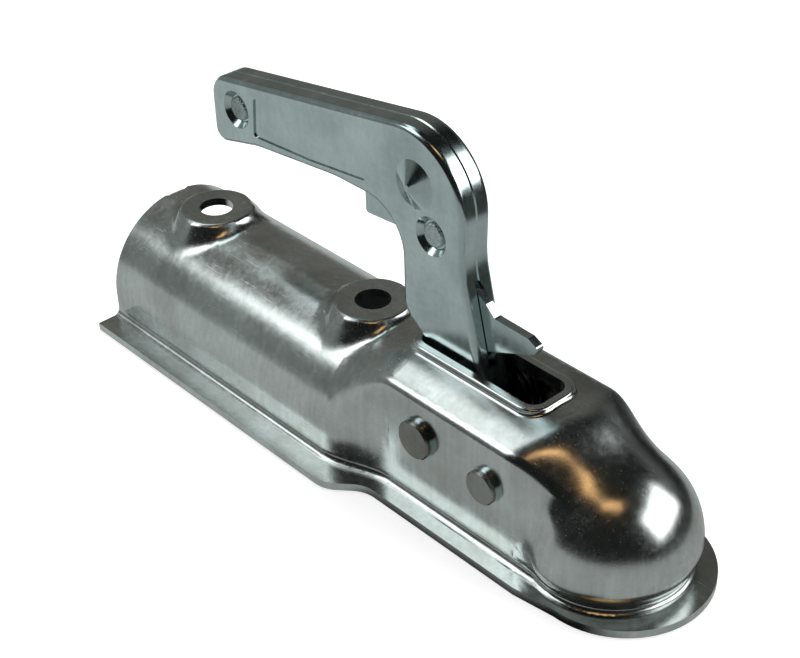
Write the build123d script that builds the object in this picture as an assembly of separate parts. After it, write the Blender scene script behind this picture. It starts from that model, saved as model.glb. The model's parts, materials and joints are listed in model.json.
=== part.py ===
from build123d import *
import math
import os

# Trailer coupling head for a 50 mm tow ball on a 60 mm round drawbar tube.
# A deep-drawn shell carries a folding handle with a trigger latch, and a jaw that closes behind the ball.
# Lengths in millimetres, +X to the nose, +Z up. Heights are measured from the flange's bottom face
# and the finished pieces are moved so that the origin is the centre of the tow ball.

# Housing sheet and the standard parts that it fits
sheet = 3.0                  # wall of the pressed shell
ball_r = 25.0                # tow ball
ball_height = 13.0           # centre of the ball above the flange's bottom face
ball_gap = 0.3               # between ball and jaw seat
tube_r = 30.0                # drawbar tube
tube_height = 13.0           # axis of the tube above the flange's bottom face
rear_length = 228.3          # ball centre to the open rear end

# Housing sections: half width, shoulder and base
mid_half = 25.8              # flat side walls of the middle section
mid_shoulder_z = 41.5        # centre of the shoulder radius
mid_shoulder_r = 5.0
mid_shoulder_deg = 66.0      # where the shoulder meets the crowned top
nose_r = 30.0                # dome over the ball
nose_neck = 27.0             # where the dome has closed in, just above the flange
nose_mouth = 25.3            # inside of that neck, which the ball passes
nose_lean_deg = 38.0
nose_slope_x = -11.5         # front of the body: where its slope passes the shoulder
nose_slope_z = 46.0
nose_slope = 0.62            # forward run of that slope for its drop
nose_ease = 7.0              # how widely the slope eases into the dome
nose_top_ease = 5.0          # and the body's top into the slope
base_bend_r = 3.0            # bend between side wall and flange
nose_bend_r = 2.0
rear_blend = (-104.0, -76.0)  # where the rear arch turns into the middle section
nose_blend = (-18.0, 0.0)     # where the middle section drops to the dome

# Flange outline
flange_rear_half = 43.0
flange_mid_half = 33.4
flange_step = (-91.7, -80.9)
flange_step_r = 12.0
flange_nose_r = 31.3
flange_nose_x = 4.9

# Bolt pads on the rear arch
hole_r = 6.5
hole_pitch = 90.0
front_hole_x = -111.8
pad_top = 49.2
pad_flat_r = 14.0
pad_slope = 6.9              # growth of the radius over the depth
pad_depth = 11.0             # into the arch on every side
pad_edge_r = 2.5

# Slot with its raised collar
slot_rear_x = -80.5
slot_front_x = -26.5
slot_half = 8.5
slot_corner_r = 4.5
collar_wall = 3.0
collar_top = 52.2
collar_edge_r = 0.9
collar_foot_r = 1.4

# Handle pin and jaw pin, seen from the side
handle_pin_at = (-61.4, 30.5)
jaw_pin_at = (-30.7, 28.7)
handle_pin_r = 5.0
jaw_pin_r = 4.0
pin_head_over = 2.1          # head radius beyond the shank
pin_head_t = 1.6
washer_over = 2.5
washer_t = 1.3
washer_groove = 0.35
peen_t = 2.0
running_gap = 0.05           # radial clearance of what turns
fixed_gap = 0.02             # radial clearance of what stays still
side_gap = 0.1               # end play of what turns

# Handle, laid out from a point near its pin
handle_zero = (-60.2, 31.6)
handle_half = 6.5            # half of its width
shell_wall = 2.0
handle_edge_r = 2.3
seam_chamfer = 0.4           # where the two half shells meet
hub_r = 12.0
bush_wall = 2.0
spacer_wall = 2.6
latch_rivet_at = (-14.7, 61.6)
grip_rivet_at = (-113.9, 71.0)
rivet_r = 3.0
rivet_head_r = 4.4
rivet_head_t = 1.5
dish_r = 7.0
dish_floor_r = 5.0
dish_depth = 2.2
pip_at = (-22.0, 77.6)
pip_r = 9.0
pip_height = 3.4
pip_tip_r = 1.2
panel_depth = 0.6
cam_rivet_at = (-4.0, 12.5)
cam_rivet_r = 2.5
cam_rivet_head_r = 4.2
cam_rivet_head_t = 1.4
cam_lobe_at = (18.0, -10.8)
cam_lobe_r = 5.7
cam_rivet_boss_r = 5.2

# Latch plate
plate_half = 1.5
plate_slot_half = 1.8
latch_hub_r = 9.0

# Jaw
jaw_hub_r = 8.0
jaw_hub_half = 14.0
jaw_seat_half = 19.0
jaw_foot_z = 2.5
jaw_edge_r = 1.2

sink = 0.05                  # how far a bend runs into the flat that it meets


def on_handle(point):
    return (handle_zero[0] + point[0], handle_zero[1] + point[1])


def from_handle_pin(point):
    return (handle_pin_at[0] + point[0], handle_pin_at[1] + point[1])


def side_face(face):
    # A sketch drawn in side view, stood upright in the middle plane.
    return Plane.XZ * face


def across(face, y_from, y_to):
    # A side view sketch made solid between two places across the width.
    solid = extrude(side_face(face), amount=y_to - y_from)
    return Pos(0, -y_from, 0) * solid


def disc(point, radius, y_from, y_to):
    return across(Pos(point[0], point[1]) * Circle(radius), y_from, y_to)


def ring(point, outer_r, inner_r, y_from, y_to):
    return disc(point, outer_r, y_from, y_to) - disc(point, inner_r, y_from - 1, y_to + 1)


def cone_across(point, r_from, r_to, y_from, y_to):
    profile = Polyline((0, y_from), (r_from, y_from), (r_to, y_to), (0, y_to), close=True)
    turned = revolve(make_face(profile), Axis.Y)
    return Pos(point[0], 0, point[1]) * turned


# Housing
rear_section = {
    "half": tube_r + sheet,
    "shoulder_z": tube_height,
    "shoulder_r": tube_r + sheet,
    "shoulder_deg": 60.0,
}
mid_section = {
    "half": mid_half,
    "shoulder_z": mid_shoulder_z,
    "shoulder_r": mid_shoulder_r,
    "shoulder_deg": mid_shoulder_deg,
}
fan_deg = [0, 8, 16, 24, 31, 37, 42, 45, 47.5, 50, 52.5, 55, 58, 62, 68, 75, 82.5, 90]


def smooth_step(share):
    share = min(max(share, 0.0), 1.0)
    return share * share * (3 - 2 * share)


def rounded_max(a, b, width):
    # The larger of two values, eased where they are closer than width.
    near = max(width - abs(a - b), 0.0)
    return max(a, b) + near * near / (4 * width)


def section_at(x):
    share = smooth_step((x - rear_blend[0]) / (rear_blend[1] - rear_blend[0]))
    return {key: rear_section[key] + (mid_section[key] - rear_section[key]) * share for key in rear_section}


def reach_to_circle(angle, centre, radius):
    # From the height of the ball centre outward at an angle, to a circle.
    along = centre[0] * math.cos(angle) + centre[1] * math.sin(angle)
    inside = centre[0] ** 2 + centre[1] ** 2 - radius ** 2
    return along + math.sqrt(along * along - inside)


def body_reach(section, angle, inset):
    turn = math.radians(section["shoulder_deg"])
    shoulder = (section["half"] - section["shoulder_r"], section["shoulder_z"] - ball_height)
    crown_r = section["shoulder_r"] + shoulder[0] / math.cos(turn)
    crown = (0.0, shoulder[1] - (crown_r - section["shoulder_r"]) * math.sin(turn))
    shoulder_r = section["shoulder_r"] - inset
    wall_end = math.atan2(shoulder[1], section["half"] - inset)
    shoulder_end = math.atan2(shoulder[1] + shoulder_r * math.sin(turn),
                              shoulder[0] + shoulder_r * math.cos(turn))
    if angle <= wall_end:
        return (section["half"] - inset) / math.cos(angle)
    if angle <= shoulder_end:
        return reach_to_circle(angle, shoulder, shoulder_r)
    return reach_to_circle(angle, crown, crown_r - inset)


def outline_reach(x, angle, inset):
    reach = body_reach(section_at(x), angle, inset)
    if x <= nose_blend[0]:
        return reach
    # The front of the body slopes down until the dome takes over.
    slope_z = nose_slope_z - (x - nose_slope_x) / nose_slope - inset - ball_height
    slope_reach = slope_z / max(math.sin(angle), 0.05)
    share = smooth_step((x - nose_blend[0]) / (nose_blend[1] - nose_blend[0]))
    ease = nose_ease * (1 - share) + 0.4
    start = smooth_step((x - nose_blend[0]) / 4.0)
    cut = -rounded_max(-reach, -slope_reach, nose_top_ease * start + 0.01)
    dome = math.sqrt((nose_r - inset) ** 2 - x * x)
    met = rounded_max(cut, dome, ease)
    return reach + (met - reach) * start


def section_points(x, inset):
    # One side of the shell: the flange bend, the lower wall and the upper outline.
    share = smooth_step((x - nose_blend[0]) / (nose_blend[1] - nose_blend[0]))
    section = section_at(x)
    neck_r = nose_mouth if inset else nose_neck
    neck = section["half"] - inset
    if x > nose_blend[0]:
        neck += (rounded_max(neck, math.sqrt(neck_r ** 2 - x * x), 0.6 * (1 - share) + 0.1) - neck) * min(
            1.0, (x - nose_blend[0]) / 3.0)
    bend_r = base_bend_r + (nose_bend_r - base_bend_r) * share + inset
    lean = math.radians(nose_lean_deg) * share * (0.75 if inset else 1.0)
    bend_y = neck + bend_r
    bend_z = sheet - sink + bend_r - inset
    foot = (bend_y, -2.0 if inset else 0.0)
    bend_low = (bend_y, bend_z - bend_r)
    bend_mid = math.pi * 1.25 - lean / 2
    bend_half = (bend_y + bend_r * math.cos(bend_mid), bend_z + bend_r * math.sin(bend_mid))
    bend_top = (bend_y - bend_r * math.cos(lean), bend_z + bend_r * math.sin(lean))
    upper = []
    for deg in fan_deg:
        angle = math.radians(deg)
        reach = outline_reach(x, angle, inset)
        upper.append((reach * math.cos(angle), ball_height + reach * math.sin(angle)))
    wall_top = upper[0]
    pull = math.dist(bend_top, wall_top) / 3
    pull_low = (bend_top[0] + pull * math.sin(lean), bend_top[1] + pull * math.cos(lean))
    pull_high = (wall_top[0], wall_top[1] - pull)
    return foot, bend_low, bend_half, bend_top, pull_low, pull_high, upper


def side_edges(points, place):
    # Edges of one side's foot, bend and lower wall, with place putting a flat point in space.
    spots = [place(point) for point in points[:6]]
    wall_top = place(points[6][0])
    straight = abs(points[3][0] - points[6][0][0]) < 1e-6
    wall = Line(spots[3], wall_top) if straight else Bezier(spots[3], spots[4], spots[5], wall_top)
    return [Line(spots[0], spots[1]), ThreePointArc(spots[1], spots[2], spots[3]), wall]


def upper_edge(points, x, side):
    # From the top of the wall over to the crown.
    spots = [(x, side * y, z) for y, z in points[6][:-1]]
    return Spline(*spots, (x, 0, points[6][-1][1]), tangents=[(0, 0, 1), (0, -side, 0)])


def shell_section(x, inset):
    points = section_points(x, inset)
    left = side_edges(points, lambda p: (x, p[0], p[1]))
    right = side_edges(points, lambda p: (x, -p[0], p[1]))
    floor = Line((x, points[0][0], points[0][1]), (x, -points[0][0], points[0][1]))
    return Face(Wire(left + [upper_edge(points, x, 1), upper_edge(points, x, -1)] + right + [floor]))


def shell_body(inset):
    rear_end = -rear_length - (1.0 if inset else 0.0)
    body = extrude(shell_section(rear_end, inset), amount=rear_blend[0] - rear_end, dir=(1, 0, 0))
    body += extrude(shell_section(rear_blend[1], inset), amount=nose_blend[0] - rear_blend[1],
                    dir=(1, 0, 0))
    for ends, steps in ((rear_blend, 7), (nose_blend, 10)):
        stations = [ends[0] + (ends[1] - ends[0]) * n / steps for n in range(steps + 1)]
        body += loft([shell_section(x, inset) for x in stations])
    points = section_points(0.0, inset)
    edges = side_edges(points, lambda p: (0, p[0], p[1]))
    cap = upper_edge(points, 0.0, 1)
    top = points[6][-1][1]
    axis_line = Line((0, 0, top), (0, 0, points[0][1]))
    floor = Line((0, 0, points[0][1]), (0, points[0][0], points[0][1]))
    half = Face(Wire(edges + [cap, axis_line, floor]))
    nose = revolve(half, Axis.Z, -180)
    return body + nose


def flange_outline():
    half = [
        (-rear_length, flange_rear_half),
        (flange_step[0], flange_rear_half),
        (flange_step[1], flange_mid_half),
        (flange_nose_x - flange_nose_r / 2, flange_mid_half),
        (flange_nose_x, flange_nose_r),
    ]
    other = [(x, -y) for x, y in reversed(half)]
    plate = make_face(Polyline(*half, *other, close=True))
    steps = [v for v in plate.vertices() if flange_step[0] - 1 < v.X < flange_step[1] + 1]
    plate = fillet(steps, flange_step_r)
    return plate + Pos(flange_nose_x, 0) * Circle(flange_nose_r)


def bolt_pad(x, inset):
    top_r = pad_flat_r - inset * 0.5
    height = pad_depth
    pad = Cone(top_r + pad_slope, top_r, height)
    return Pos(x, 0, pad_top - inset - height / 2) * pad


def slot_block(grow, z_from, z_to):
    length = slot_front_x - slot_rear_x + 2 * grow
    outline = RectangleRounded(length, 2 * (slot_half + grow), slot_corner_r + grow)
    middle = (slot_front_x + slot_rear_x) / 2
    return Pos(middle, 0, z_from) * extrude(outline, amount=z_to - z_from)


def is_collar_foot(edge):
    # The line where the collar leaves the top of the body.
    middle = edge.center()
    beyond = max(slot_rear_x - middle.X, middle.X - slot_front_x)
    beside = abs(middle.Y) - slot_half
    on_ring = -collar_wall < beyond < collar_wall + 2 and beside < collar_wall + 1
    on_ring = on_ring or (beyond < 0 and abs(beside - collar_wall) < 2.2)
    low, high = mid_shoulder_z + 6.5, collar_top - 1.0
    return low < middle.Z < high and on_ring and (beside > collar_wall - 2.2 or beyond > 1)


def make_housing():
    shell = shell_body(0.0) + extrude(flange_outline(), amount=sheet)
    hole_xs = (front_hole_x - hole_pitch, front_hole_x)
    for x in hole_xs:
        shell += fillet(bolt_pad(x, 0.0).edges().group_by(Axis.Z)[-1], pad_edge_r)
    collar = slot_block(collar_wall, mid_shoulder_z, collar_top)
    shell += fillet(collar.edges().group_by(Axis.Z)[-1], collar_edge_r)
    foot = [edge for edge in shell.edges() if is_collar_foot(edge)]
    shell = fillet(foot, collar_foot_r)
    shell -= shell_body(sheet)
    for x in hole_xs:
        shell -= bolt_pad(x, sheet)
        shell -= Pos(x, 0, pad_top) * Cylinder(hole_r, 4 * sheet)
    shell -= slot_block(0.0, mid_shoulder_z - 10, collar_top + 1)
    for place, radius in ((handle_pin_at, handle_pin_r), (jaw_pin_at, jaw_pin_r)):
        shell -= disc(place, radius + fixed_gap, -2 * mid_half, 2 * mid_half)
    return shell


# Handle half shells
def handle_outline():
    x0, z0 = handle_zero
    corners = [
        ((-128.3, 53.6), 5.0),
        ((-128.3, 80.1), 9.0),
        ((0.6, 101.6), 26.0),
        ((-1.0, 55.4), 40.0),
        ((10.8, 4.9), 6.0),
        ((10.8, -13.1), 11.9),
        ((-13.2, -13.1), 11.9),
        ((-13.2, 14.6), 8.0),
        ((-29.0, 28.0), 9.0),
        ((-29.0, 64.4), 16.5),
        ((-62.0, 64.4), 60.0),
        ((-104.0, 59.6), 12.0),
    ]
    path = FilletPolyline(*[(x0 + c[0][0], z0 + c[0][1]) for c in corners],
                          radius=[c[1] for c in corners], close=True)
    return make_face(path)


def grip_panel():
    x0, z0 = handle_zero
    edge = [(-103.5, 79.0), (-104.8, 63.8), (-74.0, 66.0), (-46.1, 69.4), (-43.3, 80.4), (-39.8, 89.1)]
    return make_face(FilletPolyline(*[(x0 + x, z0 + z) for x, z in edge], radius=1.5, close=True))


def make_shell():
    # The right half. The left one is its mirror image.
    outline = handle_outline()
    body = across(outline, 0, handle_half)
    rim = body.edges().group_by(Axis.Y)[0]
    body = fillet(rim, handle_edge_r)
    body = chamfer(body.edges().group_by(Axis.Y)[-1], seam_chamfer)
    floor = handle_half - shell_wall
    pocket = across(offset(outline, amount=-shell_wall), -1, floor)
    body -= pocket
    body -= across(grip_panel(), handle_half - panel_depth, handle_half + 1)
    dish_floor = handle_half - dish_depth
    boss_end = dish_floor - shell_wall
    for place in (on_handle(latch_rivet_at), on_handle(grip_rivet_at)):
        body += disc(place, dish_r, boss_end, floor + 0.2)
        body -= cone_across(place, dish_floor_r, dish_r, -dish_floor, -handle_half - 0.01)
        body -= disc(place, rivet_r + fixed_gap, 0, handle_half)
    tip = handle_half + pip_height
    body += cone_across(on_handle(pip_at), pip_r, pip_tip_r, -handle_half + 0.2, -tip)
    body -= cone_across(on_handle(pip_at), pip_r - shell_wall, 0.2, -floor + 0.2, -tip + shell_wall)
    hub = handle_pin_at
    body -= disc(hub, handle_pin_r + running_gap + bush_wall, -1, handle_half + 1)
    body -= disc(on_handle(cam_rivet_at), cam_rivet_r + fixed_gap, -1, handle_half + 1)
    # Openings in the rim for the trigger, the tongue and the cam lobe
    trigger_gap = Pos(*on_handle((-40.0, 60.2))) * Rectangle(28.5, 15.0)
    tongue_gap = Pos(*on_handle((6.0, 34.0))) * Rectangle(16.0, 30.0)
    lobe_turn = math.degrees(math.atan2(cam_lobe_at[1], cam_lobe_at[0]))
    lobe_gap = Pos(hub[0], hub[1]) * Rot(0, 0, lobe_turn) * Pos(12.0, 0) * Rectangle(18.0, 21.0)
    body -= across(trigger_gap, -1, plate_slot_half)
    body -= across(tongue_gap, -1, plate_slot_half)
    body -= across(lobe_gap, -1, floor)
    return body


# Latch plate, laid out from its rivet
def make_latch_plate():
    x0, z0 = on_handle(latch_rivet_at)
    trigger = [(-36.9, 4.8), (-36.9, -8.1), (-25.0, -7.2), (-4.0, -5.0), (-4.0, 6.0)]
    arm = [(-6.0, 2.0), (-4.5, -19.0), (9.0, -36.0), (17.0, -38.2), (41.4, -27.6), (43.0, -25.0),
           (38.6, -22.8), (24.0, -22.4), (20.0, -18.6), (12.0, -14.0), (8.0, 2.0)]
    sketch = Pos(x0, z0) * Circle(latch_hub_r)
    for corners in (trigger, arm):
        sketch += make_face(FilletPolyline(*[(x0 + x, z0 + z) for x, z in corners], radius=1.2, close=True))
    sketch -= Pos(x0, z0) * Circle(rivet_r + running_gap)
    return across(sketch, -plate_half, plate_half)


def make_cam_block():
    floor = handle_half - shell_wall
    hub = Pos(*handle_pin_at) * Circle(hub_r - shell_wall - 0.2)
    lobe = Pos(*from_handle_pin(cam_lobe_at)) * Circle(cam_lobe_r)
    boss = Pos(*on_handle(cam_rivet_at)) * Circle(cam_rivet_boss_r)
    outline = make_hull(hub.edges() + lobe.edges()) + make_hull(hub.edges() + boss.edges())
    block = across(outline, -floor, floor)
    block -= disc(handle_pin_at, handle_pin_r + running_gap + bush_wall, -floor - 1, floor + 1)
    block -= disc(on_handle(cam_rivet_at), cam_rivet_r + fixed_gap, -floor - 1, floor + 1)
    return block


def make_jaw():
    x0, z0 = jaw_pin_at
    hub = Circle(jaw_hub_r)
    body = make_face(Polyline((-8.0, 0.0), (-3.5, jaw_foot_z - z0), (x0 * -0.7, jaw_foot_z - z0), (8.0, 0.0),
                              close=True))
    profile = Pos(x0, z0) * (hub + body)
    jaw = across(profile, -jaw_hub_half, jaw_hub_half)
    seat = make_face(Polyline((-6.0, -10.0), (-3.5, jaw_foot_z - z0), (x0 * -0.7, jaw_foot_z - z0),
                              (x0 * -0.7, -10.0), close=True))
    jaw += across(Pos(x0, z0) * seat, -jaw_seat_half, jaw_seat_half)
    jaw -= Pos(0, 0, ball_height) * Sphere(ball_r + ball_gap)
    jaw -= disc(jaw_pin_at, jaw_pin_r + running_gap + bush_wall, -jaw_hub_half - 1, jaw_hub_half + 1)
    return jaw


def make_pin(place, radius):
    # Headed on the right, peened over a washer on the left.
    wall = mid_half + washer_t
    head_r = radius + pin_head_over
    pin = disc(place, radius, -wall, wall)
    head = disc(place, head_r, wall, wall + pin_head_t)
    pin += chamfer(head.edges().group_by(Axis.Y)[0], pin_head_t * 0.3)
    peen = disc(place, head_r - 0.4, -wall - peen_t, -wall)
    pin += fillet(peen.edges().group_by(Axis.Y)[-1], peen_t * 0.8)
    return pin


def make_washer(place, radius, side):
    near, far = mid_half, mid_half + washer_t
    outer = radius + washer_over
    washer = ring(place, outer, radius + fixed_gap, near, far)
    washer -= ring(place, outer + 1, outer - washer_groove, far - washer_t * 0.35, far + 1)
    return washer if side > 0 else mirror(washer, about=Plane.XZ)


def make_spacer(place, radius, start, side):
    spacer = ring(place, radius + spacer_wall, radius + fixed_gap, start + side_gap,
                  mid_half - sheet - side_gap)
    return spacer if side > 0 else mirror(spacer, about=Plane.XZ)


def make_rivet(place, radius, head_r, head_t, seat):
    # A head on each side, its underside at seat.
    rivet = disc(place, radius, -seat, seat)
    for near, far, tip in ((seat, seat + head_t, 0), (-seat - head_t, -seat, -1)):
        head = disc(place, head_r, near, far)
        rivet += fillet(head.edges().group_by(Axis.Y)[tip], head_t * 0.6)
    return rivet


def make_coil(place, mean_r, wire_r, y_from, y_to, turns, leg, leg_deg):
    # A torsion spring about an axis across the width, with two straight legs.
    pitch = (y_to - y_from) / turns
    path = Helix(pitch, y_to - y_from, mean_r)
    start = path @ 0
    coil = sweep(Plane(origin=start, z_dir=path % 0) * Circle(wire_r), path=path)
    for at, sign in ((0, -1), (1, 1)):
        heading = (path % at) * sign
        limb = Plane(origin=path @ at, z_dir=heading) * Circle(wire_r)
        coil += extrude(limb, amount=leg)
    turned = Rot(-90, 0, 0) * Rot(0, 0, leg_deg) * coil
    return Pos(place[0], y_from, place[1]) * turned


def both_sides(name, maker):
    pieces[name + "_right"] = maker(1)
    pieces[name + "_left"] = maker(-1)


pieces = {}
pieces["housing"] = make_housing()

right_shell = make_shell()
pieces["handle_shell_right"] = right_shell
pieces["handle_shell_left"] = mirror(right_shell, about=Plane.XZ)
dish_seat = handle_half - dish_depth
latch_rivet_place = on_handle(latch_rivet_at)
grip_rivet_place = on_handle(grip_rivet_at)
pieces["latch_rivet"] = make_rivet(latch_rivet_place, rivet_r, rivet_head_r, rivet_head_t, dish_seat)
pieces["grip_rivet"] = make_rivet(grip_rivet_place, rivet_r, rivet_head_r, rivet_head_t, dish_seat)
boss_face = dish_seat - shell_wall
pieces["grip_spacer"] = ring(grip_rivet_place, rivet_r + shell_wall, rivet_r + fixed_gap,
                             -boss_face, boss_face)
pieces["latch_plate"] = make_latch_plate()
both_sides("latch_washer", lambda side: ring(
    latch_rivet_place, rivet_r + shell_wall, rivet_r + fixed_gap,
    *((plate_half + side_gap, boss_face) if side > 0 else (-boss_face, -plate_half - side_gap))))
pieces["cam_block"] = make_cam_block()
pieces["cam_rivet"] = make_rivet(on_handle(cam_rivet_at), cam_rivet_r, cam_rivet_head_r,
                                 cam_rivet_head_t, handle_half)
pieces["handle_bush"] = ring(handle_pin_at, handle_pin_r + running_gap + bush_wall,
                             handle_pin_r + running_gap, -handle_half, handle_half)
pieces["handle_pin"] = make_pin(handle_pin_at, handle_pin_r)
both_sides("handle_pin_washer", lambda side: make_washer(handle_pin_at, handle_pin_r, side))
both_sides("handle_spacer", lambda side: make_spacer(handle_pin_at, handle_pin_r, handle_half, side))

pieces["jaw"] = make_jaw()
pieces["jaw_bush"] = ring(jaw_pin_at, jaw_pin_r + running_gap + bush_wall, jaw_pin_r + running_gap,
                          -jaw_hub_half, jaw_hub_half)
pieces["jaw_pin"] = make_pin(jaw_pin_at, jaw_pin_r)
both_sides("jaw_pin_washer", lambda side: make_washer(jaw_pin_at, jaw_pin_r, side))
both_sides("jaw_spacer", lambda side: make_spacer(jaw_pin_at, jaw_pin_r, jaw_hub_half, side))

pieces["handle_spring"] = make_coil(handle_pin_at, handle_pin_r + spacer_wall + 1.5, 1.1,
                                    handle_half + 3.4, mid_half - sheet - 2.2, 4, 12, 0)
pieces["jaw_spring"] = make_coil(jaw_pin_at, jaw_pin_r + spacer_wall + 1.3, 0.9,
                                 -mid_half + sheet + 2.0, -jaw_hub_half - 2.0, 3, 10, 0)
pieces["latch_spring"] = make_coil(latch_rivet_place, dish_r + 0.9, 0.5, plate_half + 0.9,
                                   handle_half - shell_wall - 0.9, 1.5, 8, 0)

os.makedirs("parts", exist_ok=True)
to_origin = Pos(0, 0, -ball_height)
for name, piece in pieces.items():
    export_step(to_origin * piece, "parts/" + name + ".step")
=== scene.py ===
import json
import math

import bmesh
import bpy
from mathutils import Matrix, Vector
from mathutils.bvhtree import BVHTree
from mathutils.kdtree import KDTree


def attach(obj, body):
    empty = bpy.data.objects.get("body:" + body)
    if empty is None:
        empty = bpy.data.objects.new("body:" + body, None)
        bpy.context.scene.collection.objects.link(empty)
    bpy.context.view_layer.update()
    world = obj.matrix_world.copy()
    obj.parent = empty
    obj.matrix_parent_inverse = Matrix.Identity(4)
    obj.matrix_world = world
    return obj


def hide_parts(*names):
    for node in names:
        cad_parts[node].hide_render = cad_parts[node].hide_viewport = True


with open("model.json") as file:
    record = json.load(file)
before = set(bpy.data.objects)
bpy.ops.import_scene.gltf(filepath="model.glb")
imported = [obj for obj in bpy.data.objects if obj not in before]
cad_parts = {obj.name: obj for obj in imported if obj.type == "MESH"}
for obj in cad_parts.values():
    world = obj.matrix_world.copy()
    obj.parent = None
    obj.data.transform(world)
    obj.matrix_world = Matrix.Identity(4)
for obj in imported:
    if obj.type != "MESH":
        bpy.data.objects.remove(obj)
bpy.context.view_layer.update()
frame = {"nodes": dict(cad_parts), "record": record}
print("frame loaded")


def linear(value):
    # A screen value of 0 to 255 as a linear light value.
    v = value / 255
    return v / 12.92 if v <= 0.04045 else ((v + 0.055) / 1.055) ** 2.4


def colour(r, g, b):
    return (linear(r), linear(g), linear(b), 1.0)


def direction(turn, lift):
    # A direction by its turn from +X towards +Y and its height above the horizon, in degrees.
    t, e = math.radians(turn), math.radians(lift)
    return Vector((math.cos(t) * math.cos(e), math.sin(t) * math.cos(e), math.sin(e)))


# Camera, for a picture of 800 by 658
cameraSet = {
    "place": (0.2446, -0.3053, 0.3457),
    "azimuth": 47.5,
    "elevation": 34.64,
    "roll": -1.17,
    "focal": 1608.4,
    "centre": (418.6, 332.3),
    "picture": (800, 658),
    "sensor": 36.0,
}


def makeCamera(s):
    data = bpy.data.cameras.new("camera")
    cam = bpy.data.objects.new("camera", data)
    bpy.context.scene.collection.objects.link(cam)
    az, el, roll = (math.radians(s[k]) for k in ("azimuth", "elevation", "roll"))
    back = Vector((math.sin(az) * math.cos(el), -math.cos(az) * math.cos(el), math.sin(el)))
    right = Vector((math.cos(az), math.sin(az), 0))
    up = back.cross(right)
    rolledRight = math.cos(roll) * right + math.sin(roll) * up
    rolledUp = -math.sin(roll) * right + math.cos(roll) * up
    turned = Matrix((rolledRight, rolledUp, back)).transposed()
    cam.matrix_world = Matrix.Translation(s["place"]) @ turned.to_4x4()
    width, height = s["picture"]
    data.sensor_width = s["sensor"]
    data.lens = s["focal"] / width * s["sensor"]
    data.shift_x = -(s["centre"][0] - width / 2) / width
    data.shift_y = (s["centre"][1] - height / 2) / width
    data.clip_start = 0.01
    data.clip_end = 20
    data.dof.use_dof = False
    bpy.context.scene.camera = cam


makeCamera(cameraSet)
bpy.context.scene.view_settings.view_transform = "Standard"
print("camera made")


# Node helpers
def newMaterial(name):
    mat = bpy.data.materials.new(name)
    mat.use_nodes = True
    tree = mat.node_tree
    return mat, tree, tree.nodes["Principled BSDF"]


def addNode(tree, kind, **values):
    node = tree.nodes.new(kind)
    for key, value in values.items():
        setattr(node, key, value)
    return node


def setInputs(node, **values):
    for key, value in values.items():
        node.inputs[key].default_value = value


def objectPoint(tree, scale=(1, 1, 1), turn=(0, 0, 0)):
    coords = addNode(tree, "ShaderNodeTexCoord")
    mapping = addNode(tree, "ShaderNodeMapping")
    setInputs(mapping, Scale=scale, Rotation=turn)
    tree.links.new(coords.outputs["Object"], mapping.inputs["Vector"])
    return mapping.outputs["Vector"]


def noise(tree, vector, scale, detail, rough):
    node = addNode(tree, "ShaderNodeTexNoise")
    setInputs(node, Scale=scale, Detail=detail, Roughness=rough)
    tree.links.new(vector, node.inputs["Vector"])
    return node.outputs["Fac"]


def remap(tree, value, low, high, outLow=0.0, outHigh=1.0, ease="LINEAR"):
    node = addNode(tree, "ShaderNodeMapRange", interpolation_type=ease)
    setInputs(node, **{"From Min": low, "From Max": high, "To Min": outLow, "To Max": outHigh})
    tree.links.new(value, node.inputs["Value"])
    return node.outputs["Result"]


def smoothStep(tree, value, low, high, outLow=0.0, outHigh=1.0):
    return remap(tree, value, low, high, outLow, outHigh, "SMOOTHSTEP")


def feed(tree, socket, value):
    # A number or colour is set on the socket itself, anything else is linked to it.
    if isinstance(value, (int, float)):
        socket.default_value = value
    elif isinstance(value, tuple):
        socket.default_value = value if len(value) == 4 else (*value, 1)
    else:
        tree.links.new(value, socket)


def mathNode(tree, kind, a, b=0.0):
    node = addNode(tree, "ShaderNodeMath", operation=kind)
    feed(tree, node.inputs[0], a)
    feed(tree, node.inputs[1], b)
    return node.outputs[0]


def mixColour(tree, factor, a, b):
    mix = addNode(tree, "ShaderNodeMix", data_type="RGBA")
    for key, value in (("Factor", factor), ("A", a), ("B", b)):
        feed(tree, mix.inputs[key], value)
    return mix.outputs["Result"]


# Zinc plated steel, by finish. Grain is the height of its relief in metres.
# Marks and scratch are how much the draw marks and the scratches change it.
metalSets = {
    "housingZinc": {"tint": (194, 200, 199), "dark": (174, 178, 175), "rough": 0.18, "roughSpread": 0.06,
                    "grain": 0.000022, "marks": 0.06, "scratch": 0.5, "slot": "housing_zinc"},
    "handleZinc": {"tint": (186, 200, 200), "dark": (166, 180, 181), "rough": 0.14, "roughSpread": 0.06,
                   "grain": 0.000014, "marks": 0.03, "scratch": 0.5, "slot": "handle_zinc"},
    "plainSteel": {"tint": (150, 152, 148), "dark": (96, 96, 92), "rough": 0.26, "roughSpread": 0.2,
                   "grain": 0.00004, "marks": 0.05, "scratch": 1.0, "slot": "plain_steel"},
    "springSteel": {"tint": (110, 110, 112), "dark": (60, 60, 62), "rough": 0.28, "roughSpread": 0.1,
                    "grain": 0.00002, "marks": 0.02, "scratch": 0.3, "slot": "spring_steel"},
    "pinSteel": {"tint": (150, 152, 146), "dark": (118, 118, 112), "rough": 0.24, "roughSpread": 0.16,
                 "grain": 0.00005, "marks": 0.05, "scratch": 1.0, "slot": None},
    "peenedZinc": {"tint": (186, 200, 200), "dark": (120, 130, 130), "rough": 0.12, "roughSpread": 0.12,
                   "grain": 0.0009, "marks": 0.05, "scratch": 0.4, "slot": None},
}
nodeMetal = {"handle_pin": "pinSteel", "jaw_pin": "pinSteel",
             "latch_rivet": "peenedZinc", "grip_rivet": "peenedZinc"}

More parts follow.
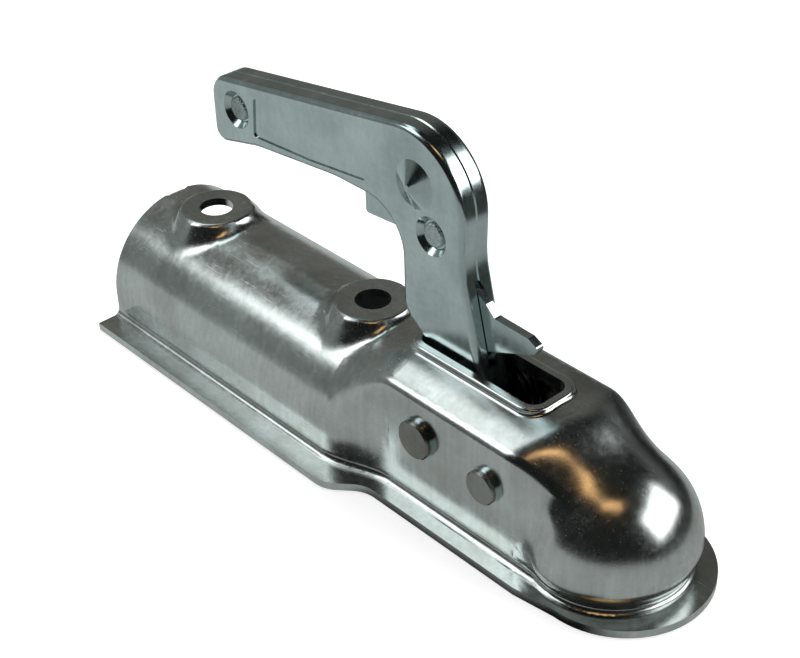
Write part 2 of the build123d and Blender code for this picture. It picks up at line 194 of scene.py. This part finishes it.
# What all the metals share: noises by scale, detail and roughness, the span of each that is used,
# and what it gives
zincSet = {
    "clouds": (55.0, 4.0, 0.55),
    "cloudTint": (0.32, 0.62),
    "cloudRough": (0.3, 0.72),
    "broad": (16.0, 2.0, 0.5),
    "broadShade": (0.35, 0.65, 0.93, 1.05),
    "fine": (1500.0, 2.0, 0.6),
    "specks": (420.0, 3.0, 0.65),
    "speckShade": (0.3, 0.7, 0.95, 1.05),
    "speckRough": (0.35, 0.75, -0.02, 0.05),
    "speckHeight": 0.6,
    "marksStretch": (420, 420, 16),
    "marks": (1.0, 3.0, 0.6),
    "marksShade": (0.35, 0.7),
    "scratchStretch": (55, 3600, 3600),
    "scratch": (1.0, 1.0, 0.4),
    "scratchTurns": ((0, 0, 0.5), (0.6, 0.3, 1.9), (1.1, -0.4, -0.7)),
    "scratchFrom": (0.74, 0.80),
    "scratchShade": 0.25,
    "scratchRough": 0.15,
    "scratchDepth": 0.8,
    "bumpStrength": 0.5,
}


def makeMetal(name, s, z):
    mat, tree, shader = newMaterial(name)
    shader.inputs["Metallic"].default_value = 1.0
    point = objectPoint(tree)
    clouds, broad, fine, specks = (noise(tree, point, *z[k])
                                   for k in ("clouds", "broad", "fine", "specks"))
    marks = noise(tree, objectPoint(tree, z["marksStretch"]), *z["marks"])
    scratches = 0.0
    for turn in z["scratchTurns"]:
        line = noise(tree, objectPoint(tree, z["scratchStretch"], turn), *z["scratch"])
        scratches = mathNode(tree, "MAXIMUM", remap(tree, line, *z["scratchFrom"]), scratches)

    def scratched(share):
        return mathNode(tree, "MULTIPLY", scratches, share * s["scratch"])

    dark, light = colour(*s["dark"]), colour(*s["tint"])
    tint = mixColour(tree, remap(tree, clouds, *z["cloudTint"]), dark, light)
    shade = remap(tree, marks, *z["marksShade"], 1.0 - s["marks"], 1.0 + s["marks"])
    shade = mathNode(tree, "MULTIPLY", shade, remap(tree, broad, *z["broadShade"]))
    shade = mathNode(tree, "MULTIPLY", shade, remap(tree, specks, *z["speckShade"]))
    shade = mathNode(tree, "ADD", shade, scratched(z["scratchShade"]))
    bright = addNode(tree, "ShaderNodeVectorMath", operation="SCALE")
    tree.links.new(tint, bright.inputs[0])
    tree.links.new(shade, bright.inputs["Scale"])
    tree.links.new(bright.outputs["Vector"], shader.inputs["Base Color"])
    rough = remap(tree, clouds, *z["cloudRough"], s["rough"], s["rough"] + s["roughSpread"])
    rough = mathNode(tree, "ADD", rough, remap(tree, specks, *z["speckRough"]))
    rough = mathNode(tree, "ADD", rough, scratched(z["scratchRough"]))
    tree.links.new(rough, shader.inputs["Roughness"])
    height = mathNode(tree, "ADD", mathNode(tree, "MULTIPLY", specks, z["speckHeight"]), fine)
    height = mathNode(tree, "SUBTRACT", height, scratched(z["scratchDepth"]))
    bump = addNode(tree, "ShaderNodeBump")
    setInputs(bump, Strength=z["bumpStrength"], Distance=s["grain"])
    tree.links.new(height, bump.inputs["Height"])
    tree.links.new(bump.outputs["Normal"], shader.inputs["Normal"])
    return mat


materials = {name: makeMetal(name, s, zincSet) for name, s in metalSets.items()}
slotMaterial = {s["slot"]: materials[name] for name, s in metalSets.items() if s["slot"]}
nodeSlot = {part["node"]: part["material_slot"] for part in frame["record"]["subparts"]}
for node, obj in frame["nodes"].items():
    metal = materials[nodeMetal[node]] if node in nodeMetal else slotMaterial[nodeSlot[node]]
    obj.data.materials.clear()
    obj.data.materials.append(metal)
print("materials made")


# Pressed housing: the same sheet with its nose drawn smoothly from the body into the dome.
# Lengths in mm, heights above the ball's centre
housingSet = {
    "domeRadius": 30.0,
    "half": 25.8,
    "shoulderZ": 28.5,
    "shoulderRadius": 5.0,
    "shoulderTurn": 66.0,
    "drawStart": (-21.0, -17.5),  # the body starts to turn into the dome, low on the side and higher up
    "drawEnd": (-1.0, 9.0),
    "drawEarly": 8.0,             # the shoulder turns this much sooner
    "drawAngle": 40.0,            # up to here the side counts as low
    "wallFade": -6.5,             # the flange bend below this height stays as it is
    "meshedFrom": -32.0,          # small faces from here on
    "noseEdges": (6.0, 3.0, 1.3),  # the faces are halved down to these lengths, in turn
    "noseGap": 1.0,               # a point this near to the outermost surface of the nose is on it
    "outside": 80.0,              # a distance that is well outside the shell
    "mergeDistance": 0.002,
    "padAt": (-111.8, -201.8),
    "padRing": (13.5, 27.0),      # from and to this distance around a bolt pad's axis
    "padFrom": 15.0,              # the pads and the arch's top are above this height
    "padReach": (-235.0, -85.0),  # the arch around both pads, along it
    "padFloor": 12.0,
    "padEdges": (8.0, 4.0, 2.2, 1.1),
    "padWholeEdge": 4.0,          # longer edges are halved on the whole arch
    "padGap": 0.12,               # as noseGap
    "padFootAngle": 12.0,         # a sharper line than this is the pad's foot
    "padFootBand": 3.4,           # what lies this near to the foot is smoothed
    "padSmooth": 34,              # as many times
    "padMoved": 0.02,             # a point that moved less keeps its shading
}


def smoothShare(share):
    share = min(max(share, 0.0), 1.0)
    return share ** 3 * (share * (6 * share - 15) + 10)


def bodyReach(s, angle):
    # Outline of the straight body, outward from the ball's centre at an angle above the horizon.
    turn = math.radians(s["shoulderTurn"])
    centre = (s["half"] - s["shoulderRadius"], s["shoulderZ"])
    crownRadius = s["shoulderRadius"] + centre[0] / math.cos(turn)
    crownZ = centre[1] - (crownRadius - s["shoulderRadius"]) * math.sin(turn)
    wallEnd = math.atan2(centre[1], s["half"])
    shoulderEnd = math.atan2(centre[1] + s["shoulderRadius"] * math.sin(turn),
                             centre[0] + s["shoulderRadius"] * math.cos(turn))
    if angle <= wallEnd:
        return s["half"] / math.cos(angle)
    y, z, r = (*centre, s["shoulderRadius"]) if angle <= shoulderEnd else (0.0, crownZ, crownRadius)
    along = y * math.cos(angle) + z * math.sin(angle)
    return along + math.sqrt(along * along - (y * y + z * z - r * r))


def drawSpan(s, angle):
    low = smoothShare(math.degrees(angle) / s["drawAngle"])
    start, end = (s[k][0] + (s[k][1] - s[k][0]) * low for k in ("drawStart", "drawEnd"))
    return start - s["drawEarly"] * math.sin(2 * angle) ** 4, end


def noseReach(s, x, angle):
    start, end = drawSpan(s, angle)
    dome = math.sqrt(max(s["domeRadius"] ** 2 - x * x, 0.0))
    if x >= end:
        return dome
    body = bodyReach(s, angle)
    return body + (dome - body) * smoothShare((x - start) / (end - start))


def noseNormal(s, x, angle, side):
    # Across the surface that noseReach draws.
    out = Vector((0, side * math.cos(angle), math.sin(angle)))
    if x >= s["drawEnd"][1]:
        return (Vector((x, 0, 0)) + out * noseReach(s, x, angle)).normalized()
    up = Vector((0, -side * math.sin(angle), math.cos(angle)))
    dx, turn = 0.1, 0.004
    reach = noseReach(s, x, angle)
    alongX = (noseReach(s, x + dx, angle) - noseReach(s, x - dx, angle)) / (2 * dx)
    low = max(angle - turn, 0.0)
    alongTurn = (noseReach(s, x, angle + turn) - noseReach(s, x, low)) / (angle + turn - low)
    return (out * reach - up * alongTurn - Vector((1, 0, 0)) * alongX * reach).normalized()


def halveEdges(bm, edges):
    bmesh.ops.subdivide_edges(bm, edges=edges, cuts=1)
    bmesh.ops.triangulate(bm, faces=[f for f in bm.faces if len(f.verts) > 3])


def softenPadFeet(bm, tree, s):
    # Rounds the line where each bolt pad rises from the arch, and returns the points that it moved.
    near, far = (v / 1000 for v in s["padRing"])
    rear, front = (v / 1000 for v in s["padReach"])

    def onTop(vert):
        x, y, z = vert.co
        away = [math.hypot(x - at / 1000, y) for at in s["padAt"]]
        if z < s["padFrom"] / 1000 or not any(near < d < far for d in away):
            return False
        hit = tree.ray_cast(Vector((x, y, s["outside"] / 1000)), Vector((0, 0, -1)))[0]
        return hit is not None and abs(hit.z - z) < s["padGap"] / 1000

    for size in s["padEdges"]:
        top = {v for v in bm.verts if onTop(v)}
        halveEdges(bm, [e for e in bm.edges if e.calc_length() > size / 1000
                        and all(rear < v.co.x < front and v.co.z > s["padFloor"] / 1000 for v in e.verts)
                        and (e.verts[0] in top or e.verts[1] in top or size > s["padWholeEdge"])
                        and e.verts[0].normal.z + e.verts[1].normal.z > 0])
        bm.normal_update()
    top = [v for v in bm.verts if onTop(v)]
    inside = set(top)
    foot = {v for e in bm.edges
            if e.verts[0] in inside and e.verts[1] in inside and len(e.link_faces) == 2
            and math.degrees(e.calc_face_angle(0.0)) > s["padFootAngle"] for v in e.verts}
    footTree = KDTree(len(foot))
    for number, vert in enumerate(foot):
        footTree.insert(vert.co, number)
    footTree.balance()
    band = [v for v in top if footTree.find(v.co)[2] < s["padFootBand"] / 1000]
    before = {v: v.co.copy() for v in band}
    for _ in range(s["padSmooth"]):
        bmesh.ops.smooth_vert(bm, verts=band, factor=0.5,
                              use_axis_x=True, use_axis_y=True, use_axis_z=True)
    print("pad feet softened:", len(band), "points")
    return {v for v in band if (v.co - before[v]).length > s["padMoved"] / 1000}


def makeHousing(s):
    source = frame["nodes"]["housing"]
    bm = bmesh.new()
    bm.from_mesh(source.data)
    cadNormal = bm.loops.layers.float_vector.new("cadNormal")
    corner = source.data.corner_normals
    for face in bm.faces:
        for loop in face.loops:
            loop[cadNormal] = corner[loop.index].vector
    tree = BVHTree.FromBMesh(bm)
    bmesh.ops.remove_doubles(bm, verts=bm.verts, dist=s["mergeDistance"] / 1000)
    meshedFrom = s["meshedFrom"] / 1000
    nearly = 1e-6

    def outerAt(x, z, heading):
        # First surface met from outside, as a distance from the middle.
        start = Vector((x, 0, z)) + heading * (s["outside"] / 1000)
        hit = tree.ray_cast(start, -heading)[0]
        return None if hit is None else (hit - Vector((x, 0, z))).length

    def onSkin(vert):
        # The way outward at a point of the nose's outer skin, and nothing for any other point.
        x, y, z = vert.co
        if x < meshedFrom - nearly or z < s["wallFade"] / 1000 or abs(y) + max(z, 0) < 1e-4:
            return None
        base = 0.0 if z > 0 else z
        heading = Vector((0, y, z - base)).normalized()
        reach = Vector((0, y, z - base)).length
        outer = outerAt(x, base, heading)
        return heading if outer is not None and abs(outer - reach) < s["noseGap"] / 1000 else None

    bmesh.ops.bisect_plane(bm, geom=[*bm.verts, *bm.edges, *bm.faces], dist=1e-7,
                           plane_co=(meshedFrom, 0, 0), plane_no=(1, 0, 0))
    bmesh.ops.triangulate(bm, faces=[f for f in bm.faces if len(f.verts) > 3])
    for size in s["noseEdges"]:
        skin = {v for v in bm.verts if onSkin(v)}
        halveEdges(bm, [e for e in bm.edges if e.calc_length() > size / 1000
                        and (e.verts[0] in skin or e.verts[1] in skin)
                        and min(v.co.x for v in e.verts) > meshedFrom - 10 * nearly])
    moved = softenPadFeet(bm, tree, s)
    drawn = {}
    for vert in bm.verts:
        heading = onSkin(vert)
        if heading is None:
            continue
        x, y, z = (c * 1000 for c in vert.co)
        angle = math.atan2(max(z, 0.0), abs(y))
        if x < drawSpan(s, angle)[0]:
            continue
        side = 1 if y > 0 else -1
        if z > 0:
            drawn[vert] = (noseNormal(s, x, angle, side), 1.0)
            vert.co = Vector((vert.co.x, 0, 0)) + heading * noseReach(s, x, angle) / 1000
        else:
            fade = 1 - smoothShare(z / s["wallFade"])
            drawn[vert] = (noseNormal(s, x, 0.0, side), fade)
            outer = outerAt(vert.co.x, 0.0, heading)
            if outer is not None:
                vert.co += heading * (noseReach(s, x, 0.0) / 1000 - outer) * fade
        moved.add(vert)
    bm.normal_update()
    for face in bm.faces:
        face.smooth = True
        for loop in face.loops:
            if loop.vert in moved:
                loop[cadNormal] = loop.vert.normal
            if loop.vert in drawn:
                normal, share = drawn[loop.vert]
                if loop.vert.co.z <= 0:
                    before = Vector(loop[cadNormal])
                    flat = math.sqrt(max(1 - before.z ** 2, 0.0))
                    turned = Vector((normal.x * flat, normal.y * flat, before.z))
                    normal = before.lerp(turned, share)
                loop[cadNormal] = normal.normalized()
    shape = bpy.data.meshes.new("housingShell")
    bm.to_mesh(shape)
    bm.free()
    normals = [0.0] * (3 * len(shape.loops))
    shape.attributes["cadNormal"].data.foreach_get("vector", normals)
    shape.normals_split_custom_set([normals[i:i + 3] for i in range(0, len(normals), 3)])
    shape.attributes.remove(shape.attributes["cadNormal"])
    shape.materials.append(slotMaterial["housing_zinc"])
    piece = bpy.data.objects.new("housingShell", shape)
    bpy.context.scene.collection.objects.link(piece)
    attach(piece, "base")
    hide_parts("housing")


makeHousing(housingSet)
print("housing made")


# Studio: a pale floor, and a room of soft boxes that only reflections see
studioSet = {
    "floorZ": -0.0131,
    "floorSize": 6.0,
    "floorColour": (0.86, 0.86, 0.86),
    "whiteLift": 0.5,             # added for the camera: the floor is white and its shadow stays
    "roomRadius": 2.9,
    "tableNear": (0.62, 0.65, 0.64),   # what metal sees of the floor, from the rear
    "tableFar": (0.40, 0.42, 0.41),    # to the nose
    "tableEdgeTurn": 58,          # the pale table ends beyond this line
    "tableEdgeAt": 0.17,
    "tableEdgeSoft": 0.03,
    "tableSpan": (-0.45, 0.25),   # tableNear turns into tableFar along here
    "tableDark": (0.05, 0.055, 0.05),
    "underHalf": 0.036,           # painted shade: the floor that metal sees under the body is set dark, as hardly any light comes back from the floor inside the body
    "underHalfSoft": 0.004,
    "underRear": 0.225,
    "underFront": 0.022,
    "underEndSoft": 0.008,
    "underPaintedShade": (0.012, 0.012, 0.012),
    "worldLight": 0.7,            # and 1, which is white, for what sees it
    "roomShade": (0.014, 0.016, 0.015),
}

# Walls and soft boxes by their direction from the object, in degrees:
# turn, lift, half width, half height and soft edge
roomPatches = [
    {"turn": 154, "lift": 20, "wide": 34, "high": 28, "soft": 17, "light": (0.17, 0.165, 0.15)},
    {"turn": -155, "lift": 14, "wide": 30, "high": 26, "soft": 14, "light": (0.25, 0.27, 0.26)},
    {"turn": 92, "lift": 24, "wide": 20, "high": 10, "soft": 14, "light": (0.12, 0.125, 0.12)},
    {"turn": -50, "lift": 71, "wide": 11, "high": 5, "soft": 6, "light": (2.2, 1.25, 0.55)},
    {"turn": 38, "lift": 32, "wide": 30, "high": 19, "soft": 12, "light": (0.20, 0.23, 0.23)},
    {"turn": 38, "lift": 31, "wide": 24, "high": 16, "soft": 9, "light": (4.2, 4.2, 4.2)},
    {"turn": 168, "lift": 54, "wide": 12, "high": 5, "soft": 5, "light": (1.15, 1.5, 1.5)},
    {"turn": -166, "lift": 56, "wide": 20, "high": 6, "soft": 8, "light": (2.2, 2.3, 2.3)},
    {"turn": -137, "lift": 43, "wide": 9, "high": 13, "soft": 9, "light": (3.4, 3.5, 3.5)},
]

def emission(tree, light, strength=1.0):
    glow = addNode(tree, "ShaderNodeEmission")
    feed(tree, glow.inputs["Strength"], strength)
    feed(tree, glow.inputs["Color"], light)
    return glow.outputs["Emission"]


def dotWith(tree, vector, axis):
    dot = addNode(tree, "ShaderNodeVectorMath", operation="DOT_PRODUCT")
    dot.inputs[1].default_value = axis
    tree.links.new(vector, dot.inputs[0])
    return dot.outputs["Value"]


def stagePiece(name, bm, mat):
    mesh = bpy.data.meshes.new(name)
    bm.to_mesh(mesh)
    bm.free()
    mesh.materials.append(mat)
    piece = bpy.data.objects.new(name, mesh)
    bpy.context.scene.collection.objects.link(piece)
    return piece


def makeFloor(s):
    mat, tree, shader = newMaterial("floorWhite")
    setInputs(shader, **{"Base Color": (*s["floorColour"], 1), "Roughness": 0.9,
                         "Specular IOR Level": 0.0})
    path = addNode(tree, "ShaderNodeLightPath")
    point = objectPoint(tree)

    def past(axis, at, soft, *out):
        return smoothStep(tree, dotWith(tree, point, axis), at - soft, at + soft, *out)

    edge = past(direction(s["tableEdgeTurn"], 0), s["tableEdgeAt"], s["tableEdgeSoft"])
    along = smoothStep(tree, dotWith(tree, point, (1, 0, 0)), *s["tableSpan"])
    table = mixColour(tree, along, s["tableNear"], s["tableFar"])
    table = mixColour(tree, edge, table, s["tableDark"])
    # painted shade: inside this mask under the body, the floor's reflection is made dark
    across = mathNode(tree, "ABSOLUTE", dotWith(tree, point, (0, 1, 0)))
    half, halfSoft = s["underHalf"], s["underHalfSoft"]
    under = smoothStep(tree, across, half - halfSoft, half + halfSoft, 1.0, 0.0)
    for way, end in ((-1, s["underRear"]), (1, s["underFront"])):
        under = mathNode(tree, "MULTIPLY", under, past((way, 0, 0), end, s["underEndSoft"], 1.0, 0.0))
    table = mixColour(tree, under, table, s["underPaintedShade"])
    lifted = addNode(tree, "ShaderNodeAddShader")
    tree.links.new(shader.outputs["BSDF"], lifted.inputs[0])
    white = mathNode(tree, "MULTIPLY", path.outputs["Is Camera Ray"], s["whiteLift"])
    tree.links.new(emission(tree, (1, 1, 1), white), lifted.inputs[1])
    pick = addNode(tree, "ShaderNodeMixShader")
    tree.links.new(path.outputs["Is Glossy Ray"], pick.inputs[0])
    tree.links.new(lifted.outputs["Shader"], pick.inputs[1])
    tree.links.new(emission(tree, table), pick.inputs[2])
    tree.links.new(pick.outputs["Shader"], tree.nodes["Material Output"].inputs["Surface"])
    bm = bmesh.new()
    bmesh.ops.create_grid(bm, x_segments=1, y_segments=1, size=s["floorSize"] / 2)
    bmesh.ops.translate(bm, verts=bm.verts, vec=(0, 0, s["floorZ"]))
    stagePiece("floor", bm, mat)


def makeWorld(s):
    world = bpy.data.worlds.new("studio")
    bpy.context.scene.world = world
    world.use_nodes = True
    tree = world.node_tree
    back = tree.nodes["Background"]
    path = addNode(tree, "ShaderNodeLightPath")
    seen = mathNode(tree, "MAXIMUM", path.outputs["Is Camera Ray"], path.outputs["Is Glossy Ray"])
    seen = mathNode(tree, "MAXIMUM", seen, path.outputs["Is Transmission Ray"])
    tree.links.new(remap(tree, seen, 0, 1, s["worldLight"], 1.0), back.inputs["Strength"])
    back.inputs["Color"].default_value = (1, 1, 1, 1)


def patchShare(tree, unit, patch):
    # 1 inside a patch of the room, easing to 0 past its edges
    centre = direction(patch["turn"], patch["lift"])
    side = direction(patch["turn"] + 90, 0)
    share = mathNode(tree, "GREATER_THAN", dotWith(tree, unit, centre), 0.0)
    for axis, half in ((side, patch["wide"]), (centre.cross(side), patch["high"])):
        away = mathNode(tree, "ABSOLUTE", dotWith(tree, unit, axis))
        edge = math.sin(math.radians(half))
        soft = math.radians(patch["soft"]) / 2
        inside = smoothStep(tree, away, edge - soft, edge + soft, 1.0, 0.0)
        share = mathNode(tree, "MULTIPLY", share, inside)
    return share


def makeRoom(s):
    mat, tree, shader = newMaterial("roomLight")
    tree.nodes.remove(shader)
    coords = addNode(tree, "ShaderNodeTexCoord")
    unit = addNode(tree, "ShaderNodeVectorMath", operation="NORMALIZE")
    tree.links.new(coords.outputs["Object"], unit.inputs[0])
    total = s["roomShade"]
    for patch in roomPatches:
        total = mixColour(tree, patchShare(tree, unit.outputs["Vector"], patch), total, patch["light"])
    tree.links.new(emission(tree, total), tree.nodes["Material Output"].inputs["Surface"])
    bm = bmesh.new()
    bmesh.ops.create_icosphere(bm, subdivisions=4, radius=s["roomRadius"])
    bmesh.ops.reverse_faces(bm, faces=bm.faces)
    room = stagePiece("room", bm, mat)
    for ray in ("camera", "diffuse", "shadow", "transmission"):
        setattr(room, "visible_" + ray, False)


keyLampSet = {"turn": 120, "lift": 60, "distance": 1.6, "size": 0.9, "power": 12}


def makeLamp(name, s):
    data = bpy.data.lights.new(name, "AREA")
    data.shape = "SQUARE"
    data.size = s["size"]
    data.energy = s["power"]
    lamp = bpy.data.objects.new(name, data)
    bpy.context.scene.collection.objects.link(lamp)
    place = direction(s["turn"], s["lift"]) * s["distance"]
    lamp.matrix_world = Matrix.Translation(place) @ place.to_track_quat("Z", "Y").to_matrix().to_4x4()
    lamp.visible_glossy = False


makeFloor(studioSet)
makeWorld(studioSet)
makeRoom(studioSet)
makeLamp("keyLamp", keyLampSet)
print("studio made")
